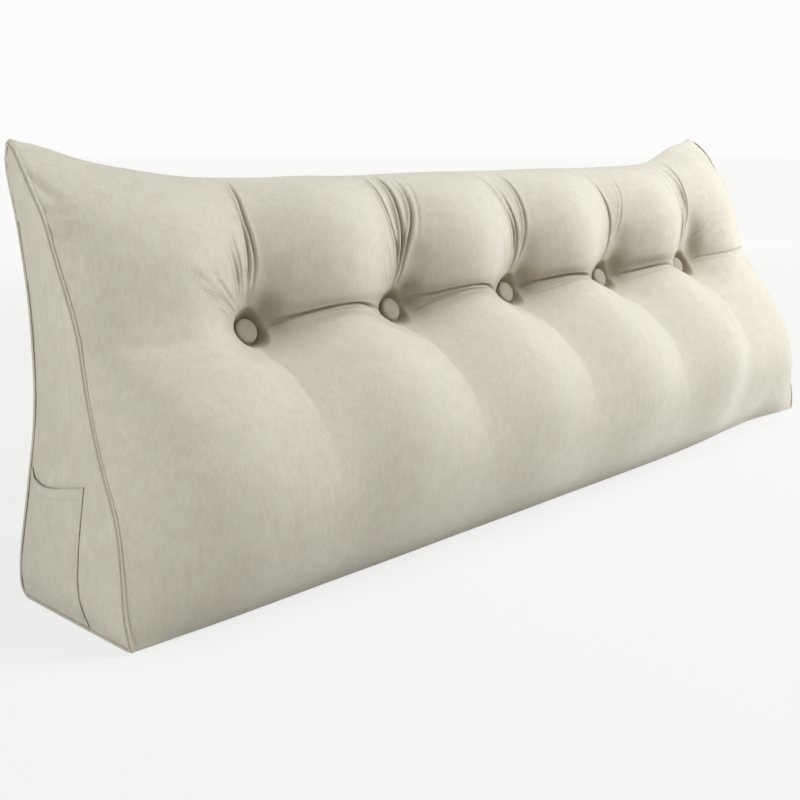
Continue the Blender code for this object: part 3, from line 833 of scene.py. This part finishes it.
def velvet(name, light, mid, shade, sheen):
    """Short-pile velvet between three tones, with painted shade in its hollows and creases."""
    material, tree, output = new_material(name)
    place = add_node(tree, "ShaderNodeTexCoord").outputs["Object"]
    clouds = add_noise(tree, place, CLOUD_SIZE, 3.0)
    patches = add_noise(tree, place, PATCH_SIZE, 4.0, 0.6)
    grain = add_noise(tree, place, GRAIN_SIZE, 2.0, 0.7)
    scale = (1 / STREAK_WIDTH, 1 / STREAK_WIDTH, 1 / STREAK_LENGTH)
    brushed = add_node(
        tree, "ShaderNodeMapping", {}, {"Vector": place, "Scale": scale, "Rotation": (0.0, STREAK_LEAN, 0.0)}
    )
    streaks = add_noise(tree, brushed.outputs["Vector"], 1.0, 3.0)
    nap = add_node(tree, "ShaderNodeMath", {"operation": "MULTIPLY"}, {0: patches, 1: streaks})
    # painted shade: where ambient occlusion finds a hollow or crease, the colour is darkened and warmed
    openness = add_node(
        tree, "ShaderNodeAmbientOcclusion", {"samples": 6, "only_local": True}, {"Distance": HOLLOW_SHADE_REACH}
    )
    painted_shade = add_ramp(tree, openness.outputs["AO"], 0.45, 0.90, 1.0, 0.0)
    tone = add_mix(tree, clouds, linear(mid), linear(light))
    tone = add_mix(tree, add_ramp(tree, nap.outputs["Value"], 0.14, 0.36, 0.0, 0.45), tone, linear(shade))
    tone = add_mix(tree, 1.0, tone, add_ramp(tree, grain, 0.25, 0.75, 0.95, 1.04), "MULTIPLY")
    tone = add_mix(tree, painted_shade, tone, linear(PAINTED_HOLLOW_SHADE), "MULTIPLY")
    grain_bump = add_node(
        tree, "ShaderNodeBump", {}, {"Strength": 0.55, "Distance": GRAIN_HEIGHT, "Height": grain}
    ).outputs["Normal"]
    nap_bump = add_node(
        tree, "ShaderNodeBump", {},
        {"Strength": 0.35, "Distance": NAP_HEIGHT, "Height": patches, "Normal": grain_bump},
    ).outputs["Normal"]
    shader = add_node(
        tree, "ShaderNodeBsdfPrincipled", {},
        {"Base Color": tone, "Normal": nap_bump, "Roughness": 0.92, "Specular IOR Level": 0.18,
         "Sheen Weight": sheen, "Sheen Roughness": 0.45, "Sheen Tint": WHITE},
    )
    tree.links.new(shader.outputs["BSDF"], output.inputs["Surface"])
    return material


cream_velvet = velvet("cream short-pile velvet", "#d1cec3", "#c6c3b5", "#bab5a5", 0.45)
cushion.data.materials.append(cream_velvet)
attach(cushion, "root")
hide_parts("cushion")
print("material", cream_velvet.name)

# %% [markdown]
# ## The raised end seams
#
# Round each end panel the two layers of cloth are folded back, pressed and topstitched, which leaves two low
# rolled edges side by side with a narrow furrow between them. A small section of that shape is swept round
# the outline of the end panel. It stands out from the corner, halfway between the panel and the front.

# %% Sweep the rolled edges
SEAM_SECTION = (
    # across the seam and out of it, in millimetres
    (-2.8, -1.4), (-2.9, 0.0), (-2.5, 0.9), (-1.9, 1.2), (-1.3, 0.9), (-0.8, 0.35), (-0.3, 0.1),
    (0.3, 0.1), (0.8, 0.35), (1.3, 0.9), (1.9, 1.2), (2.5, 0.9), (2.9, 0.0), (2.8, -1.4),
)
SEAM_STEP = 0.0035
SEAM_LIFT = 0.0006
SEAM_SMOOTHING = 3
SEAM_OUTWARD = 1.1


def seam_path(sign):
    """The closed line of one end seam at even steps, with the way out of the pillow at each point."""
    corners = np.array([vert.co for vert in cushion.data.vertices[:len(COLUMNS) * len(ROWS)]])
    line = corners[:len(ROWS)] if sign < 0 else corners[-len(ROWS):]
    path = even_points(line, SEAM_STEP, closed=True)
    for _ in range(SEAM_SMOOTHING):
        path = (np.roll(path, 1, axis=0) + 2 * path + np.roll(path, -1, axis=0)) / 4
    tangent = unit(np.roll(path, -1, axis=0) - np.roll(path, 1, axis=0))
    to_end = np.array([float(sign), 0.0, 0.0])
    in_plane = np.cross(tangent, to_end)
    if (in_plane * (path - path.mean(axis=0))).sum() < 0:
        in_plane = -in_plane
    return path, tangent, unit(SEAM_OUTWARD * to_end + in_plane)


def sweep(name, path, tangent, out, section):
    """Sweep a closed section in millimetres along a closed line."""
    across = np.cross(tangent, out)
    rings = [path + across * a / 1000 + out * b / 1000 for a, b in section]
    points = np.stack(rings, axis=1)
    points[..., 2] = np.maximum(points[..., 2], 0.0)
    count, sides = points.shape[:2]
    shape = bmesh.new()
    verts = [[shape.verts.new(spot) for spot in ring] for ring in points]
    for i in range(count):
        for k in range(sides):
            here, there = verts[i], verts[(i + 1) % count]
            shape.faces.new((here[k], here[(k + 1) % sides], there[(k + 1) % sides], there[k]))
    return finish_shape(name, shape)


end_seams = []
for side_name, sign in (("left", -1), ("right", 1)):
    path, tangent, out = seam_path(sign)
    end_seams.append((path, out))
    seam = sweep(f"{side_name}_end_seam", path + out * SEAM_LIFT, tangent, out, SEAM_SECTION)
    seam.data.materials.append(cream_velvet)
    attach(seam, "root")
    print(seam.name, "faces", len(seam.data.polygons))

# %% [markdown]
# ## Stitches
#
# The seams and the pocket are topstitched by machine, seven to eight stitches to the inch. Hundreds of equal
# things along a line are a job for Geometry Nodes: the line is cut into even steps, a small rounded stitch is
# put on each and turned along the line, and the copies are made real, because an export drops copies.

# %% A node tree that sews
STITCH_PITCH = 0.0034
STITCH_LENGTH = 0.0024
THREAD_THICKNESS = 0.00055


def stitch_tree(material):
    """Stitches along every line of the mesh that it is given."""
    tree = bpy.data.node_groups.new("topstitching", "GeometryNodeTree")
    tree.interface.new_socket("Geometry", in_out="INPUT", socket_type="NodeSocketGeometry")
    for name in ("Pitch", "Stitch Length", "Thread Thickness"):
        tree.interface.new_socket(name, in_out="INPUT", socket_type="NodeSocketFloat")
    tree.interface.new_socket("Geometry", in_out="OUTPUT", socket_type="NodeSocketGeometry")
    given = add_node(tree, "NodeGroupInput").outputs
    line = add_node(tree, "GeometryNodeMeshToCurve", {}, {"Mesh": given["Geometry"]})
    steps = add_node(
        tree, "GeometryNodeCurveToPoints", {"mode": "LENGTH"},
        {"Curve": line.outputs["Curve"], "Length": given["Pitch"]},
    )
    stitch = add_node(tree, "GeometryNodeMeshUVSphere", {}, {"Segments": 6, "Rings": 5, "Radius": 0.5})
    thickness = given["Thread Thickness"]
    size = add_node(
        tree, "ShaderNodeCombineXYZ", {}, {"X": thickness, "Y": thickness, "Z": given["Stitch Length"]}
    )
    sewn = add_node(
        tree, "GeometryNodeInstanceOnPoints", {},
        {"Points": steps.outputs["Points"], "Instance": stitch.outputs["Mesh"],
         "Rotation": steps.outputs["Rotation"], "Scale": size.outputs["Vector"]},
    )
    real = add_node(tree, "GeometryNodeRealizeInstances", {}, {"Geometry": sewn.outputs["Instances"]})
    painted = add_node(
        tree, "GeometryNodeSetMaterial", {}, {"Geometry": real.outputs["Geometry"], "Material": material}
    )
    add_node(tree, "NodeGroupOutput", {}, {"Geometry": painted.outputs["Geometry"]})
    return tree


print("stitch pitch", STITCH_PITCH)

# %% [markdown]
# A mesh of edges carries the lines into the tree. The modifier's inputs are set by their identifiers, and the
# result is kept as a plain mesh, so that no modifier is left on the stitches.

# %% Sew along lines
def sew(name, lines, tree):
    """Run the stitching tree on lines of points, and keep the result as a plain mesh."""
    points, edges = [], []
    for line, closed in lines:
        first = len(points)
        points += [tuple(spot) for spot in line]
        edges += [(first + k, first + k + 1) for k in range(len(line) - 1)]
        if closed:
            edges.append((len(points) - 1, first))
    guide_mesh = bpy.data.meshes.new(f"{name}_guide")
    guide_mesh.from_pydata(points, edges, [])
    guide = add_object(f"{name}_guide", guide_mesh)
    modifier = guide.modifiers.new("topstitching", "NODES")
    modifier.node_group = tree
    sizes = {"Pitch": STITCH_PITCH, "Stitch Length": STITCH_LENGTH, "Thread Thickness": THREAD_THICKNESS}
    for item in tree.interface.items_tree:
        if item.in_out == "INPUT" and item.name in sizes:
            modifier[item.identifier] = sizes[item.name]
    evaluated = guide.evaluated_get(bpy.context.evaluated_depsgraph_get())
    mesh = bpy.data.meshes.new_from_object(evaluated)
    mesh.name = name
    bpy.data.objects.remove(guide)
    mesh.shade_smooth()
    return add_object(name, mesh)


print("stitches to the inch", round(0.0254 / STITCH_PITCH, 1))

# %% [markdown]
# ## Thread
#
# The thread is spun polyester, close to the cloth's own colour and smoother than the pile around it. Its two
# tones are mottled finely, as the twist of a thread is.

# %% Thread, and the stitches of the end seams
TWIST_SIZE = 0.0005
THREAD_LIFT = 0.0003


def spun_thread():
    """Polyester sewing thread."""
    material, tree, output = new_material("cream spun polyester thread")
    place = add_node(tree, "ShaderNodeTexCoord").outputs["Object"]
    tone = add_mix(tree, add_noise(tree, place, TWIST_SIZE), linear("#b5ae9b"), linear("#c8c2b1"))
    shader = add_node(
        tree, "ShaderNodeBsdfPrincipled", {}, {"Base Color": tone, "Roughness": 0.7, "Sheen Weight": 0.1}
    )
    tree.links.new(shader.outputs["BSDF"], output.inputs["Surface"])
    return material


sewing = stitch_tree(spun_thread())
seam_lines = [(path + out * (SEAM_LIFT + THREAD_LIFT), True) for path, out in end_seams]
seam_stitches = sew("end_seam_stitches", seam_lines, sewing)
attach(seam_stitches, "root")
print("seam stitches, faces", len(seam_stitches.data.polygons))

# %% [markdown]
# ## The covered buttons
#
# A covered button is a shallow metal shell with a disc of the same velvet stretched over it and gripped
# behind. It is turned here like a pot: a profile from the middle to the rim is spun round the button's axis.
# Towards the rim the cloth gathers, so the radius ripples a little there.

# %% Build the buttons
BUTTON_CLEARANCE = 0.0009
BUTTON_PROFILE = (
    # distance from the axis and height over the seat, in millimetres
    (0.0, 7.8), (4.0, 7.75), (8.0, 7.5), (11.0, 7.1), (13.0, 6.6), (14.2, 6.0), (15.0, 5.2), (15.4, 4.2),
    (15.5, 3.0), (15.4, 1.6), (14.8, 0.6), (13.6, 0.1), (11.0, 0.0), (6.0, 0.0), (0.0, 0.0),
)
BUTTON_SIDES = 96
GATHER_COUNT = 30
GATHER_DEPTH = 0.00022
GATHER_START, GATHER_WIDTH = 10.0, 5.0


def build_button(index, seat):
    """One covered button on its seat."""
    shape = bmesh.new()
    axis = Vector(BUTTON_AXIS)
    right = Vector((1.0, 0.0, 0.0))
    upward = axis.cross(right)
    centre = Vector(seat) + axis * BUTTON_CLEARANCE
    crest = shape.verts.new(centre + axis * BUTTON_PROFILE[0][1] / 1000)
    under = shape.verts.new(centre)
    rings = []
    for radius, height in BUTTON_PROFILE[1:-1]:
        gather = GATHER_DEPTH * float(smooth_step((radius - GATHER_START) / GATHER_WIDTH))
        ring = []
        for side in range(BUTTON_SIDES):
            turn = 2 * math.pi * side / BUTTON_SIDES
            reach = radius / 1000 + gather * math.sin(GATHER_COUNT * turn + index) - gather
            spot = right * (reach * math.cos(turn)) + upward * (reach * math.sin(turn))
            ring.append(shape.verts.new(centre + spot + axis * (height / 1000)))
        rings.append(ring)
    for k in range(BUTTON_SIDES):
        beside = (k + 1) % BUTTON_SIDES
        shape.faces.new((crest, rings[0][k], rings[0][beside]))
        shape.faces.new((under, rings[-1][beside], rings[-1][k]))
        for inner, outer in zip(rings, rings[1:]):
            shape.faces.new((inner[k], outer[k], outer[beside], inner[beside]))
    return finish_shape(f"covered_button_{index}", shape)


button_velvet = velvet("stretched cream velvet", "#aaa597", "#a5a092", "#9b9585", 0.25)
for index, seat in enumerate(SEATS, start=1):
    button = build_button(index, seat)
    button.data.materials.append(button_velvet)
    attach(button, "root")
    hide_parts(f"button_{index}")
print("buttons", len(SEATS))

# %% [markdown]
# ## The side pocket
#
# The pocket is one piece of velvet, hemmed along its mouth, with its front edge folded under, and sewn to the
# end panel at its back, base and front. It follows the bulge of the panel with a little air behind it, a bit
# more at the mouth. The hem is a doubled band, so the sheet is thicker there, down to the line of stitches.

# %% The pocket's two faces
POCKET_TOP = np.array(
    [(0.199, 0.150), (0.188, 0.140), (0.165, 0.1365), (0.140, 0.139), (0.115, 0.1445), (0.0885, 0.150)]
)
POCKET_BOTTOM = np.array(
    [(0.199, 0.006), (0.173, 0.006), (0.147, 0.006), (0.121, 0.006), (0.095, 0.006), (0.067, 0.006)]
)
POCKET_BOW = 0.004
POCKET_GAP = 0.0007
POCKET_SLACK = 0.0014
POCKET_CLOTH = 0.0011
POCKET_RIPPLE = 0.00042
HEM_DEPTH = 0.0105
HEM_THICKNESS = 0.0009
HEM_SLOPE, FOLD_SLOPE = 0.0022, 0.0016
HEM_LEAD, FOLD_LEAD = 0.0010, 0.0006
FOLD_WIDTH = 0.0045
STITCH_DENTS = (
    # depth and width of the dent under the stitches of the hem, then of the fold
    (0.00055, 0.0009), (0.00045, 0.0008),
)
RIM_WIDTH, RIM_THINNESS = 0.0018, 0.55
POCKET_ACROSS, POCKET_UP = 72, 84


def pocket_surface(across, rise):
    """The pocket's inner face at shares across it, from the back edge, and up it."""
    high, low = (line_through(edge, across * (len(edge) - 1)) for edge in (POCKET_TOP, POCKET_BOTTOM))
    spots = low + (high - low) * rise[:, None]
    spots[:, 0] += POCKET_BOW * np.sin(np.pi * rise) * across - DEPTH_CENTRE
    slack = POCKET_SLACK * np.sin(np.pi * across) * rise
    return np.column_stack([panel_offset(spots, -1) - POCKET_GAP - slack, spots])


def pocket_layers():
    """The pocket's two faces, and how far each spot is from the mouth and from the front edge."""
    shares = np.linspace(0, 1, POCKET_ACROSS + 1), np.linspace(0, 1, POCKET_UP + 1)
    across, rise = np.meshgrid(*shares, indexing="ij")
    inner = pocket_surface(across.ravel(), rise.ravel()).reshape(POCKET_ACROSS + 1, POCKET_UP + 1, 3)
    edges = inner[:, -1:], inner[-1:], inner[:1], inner[:, :1]
    from_mouth, from_front, from_back, from_base = (np.linalg.norm(inner - edge, axis=2) for edge in edges)
    hem = 1 - smooth_step((from_mouth - HEM_DEPTH + HEM_LEAD) / HEM_SLOPE)
    fold = 1 - smooth_step((from_front - FOLD_WIDTH + FOLD_LEAD) / FOLD_SLOPE)
    rim = np.minimum.reduce([from_mouth, from_front, from_back, from_base])
    rounding = RIM_THINNESS + (1 - RIM_THINNESS) * smooth_step(rim / RIM_WIDTH)
    thick = (POCKET_CLOTH + HEM_THICKNESS * np.maximum(hem, fold)) * rounding
    from_lines = from_mouth - HEM_DEPTH, from_front - FOLD_WIDTH
    for (depth, width), away in zip(STITCH_DENTS, from_lines):
        thick -= depth * np.exp(-(away / width) ** 2)
    ripple = np.sin(across * 9.0 + 1.0) * np.sin(np.pi * across) * smooth_step(rise)
    inner[..., 0] -= POCKET_RIPPLE * np.abs(ripple)
    outer = inner.copy()
    outer[..., 0] -= thick
    return inner, outer, from_mouth, from_front


pocket_back, pocket_face, from_mouth, from_front = pocket_layers()
print("pocket face", pocket_face.shape)

# %% [markdown]
# The two faces and a strip round their rim make one closed sheet. Its stitches follow the hem and the folded
# edge, along the dents that were left for them.

# %% Build the pocket
POCKET_THREAD_LIFT = 0.0001


def build_pocket(inner, outer):
    """The pocket as one closed sheet between its two faces."""
    shape = bmesh.new()
    layers = [[[shape.verts.new(spot) for spot in line] for line in layer] for layer in (inner, outer)]
    for layer in layers:
        for i in range(POCKET_ACROSS):
            for j in range(POCKET_UP):
                shape.faces.new((layer[i][j], layer[i + 1][j], layer[i + 1][j + 1], layer[i][j + 1]))
    rim_spots = [(i, 0) for i in range(POCKET_ACROSS)]
    rim_spots += [(POCKET_ACROSS, j) for j in range(POCKET_UP)]
    rim_spots += [(i, POCKET_UP) for i in range(POCKET_ACROSS, 0, -1)]
    rim_spots += [(0, j) for j in range(POCKET_UP, 0, -1)]
    for (i0, j0), (i1, j1) in zip(rim_spots, rim_spots[1:] + rim_spots[:1]):
        shape.faces.new((layers[0][i0][j0], layers[0][i1][j1], layers[1][i1][j1], layers[1][i0][j0]))
    return finish_shape("velvet_pocket", shape)


pocket = build_pocket(pocket_back, pocket_face)
pocket.data.materials.append(cream_velvet)
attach(pocket, "root")
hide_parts("side_pocket")

hem_row = int(np.abs(from_mouth[POCKET_ACROSS // 2] - HEM_DEPTH).argmin())
fold_column = int(np.abs(from_front[:, POCKET_UP // 2] - FOLD_WIDTH).argmin())
lift = np.array([-POCKET_THREAD_LIFT, 0.0, 0.0])
pocket_lines = [(pocket_face[2:-2, hem_row] + lift, False), (pocket_face[fold_column, 2:-2] + lift, False)]
pocket_stitches = sew("pocket_stitches", pocket_lines, sewing)
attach(pocket_stitches, "root")
print("pocket faces", len(pocket.data.polygons))
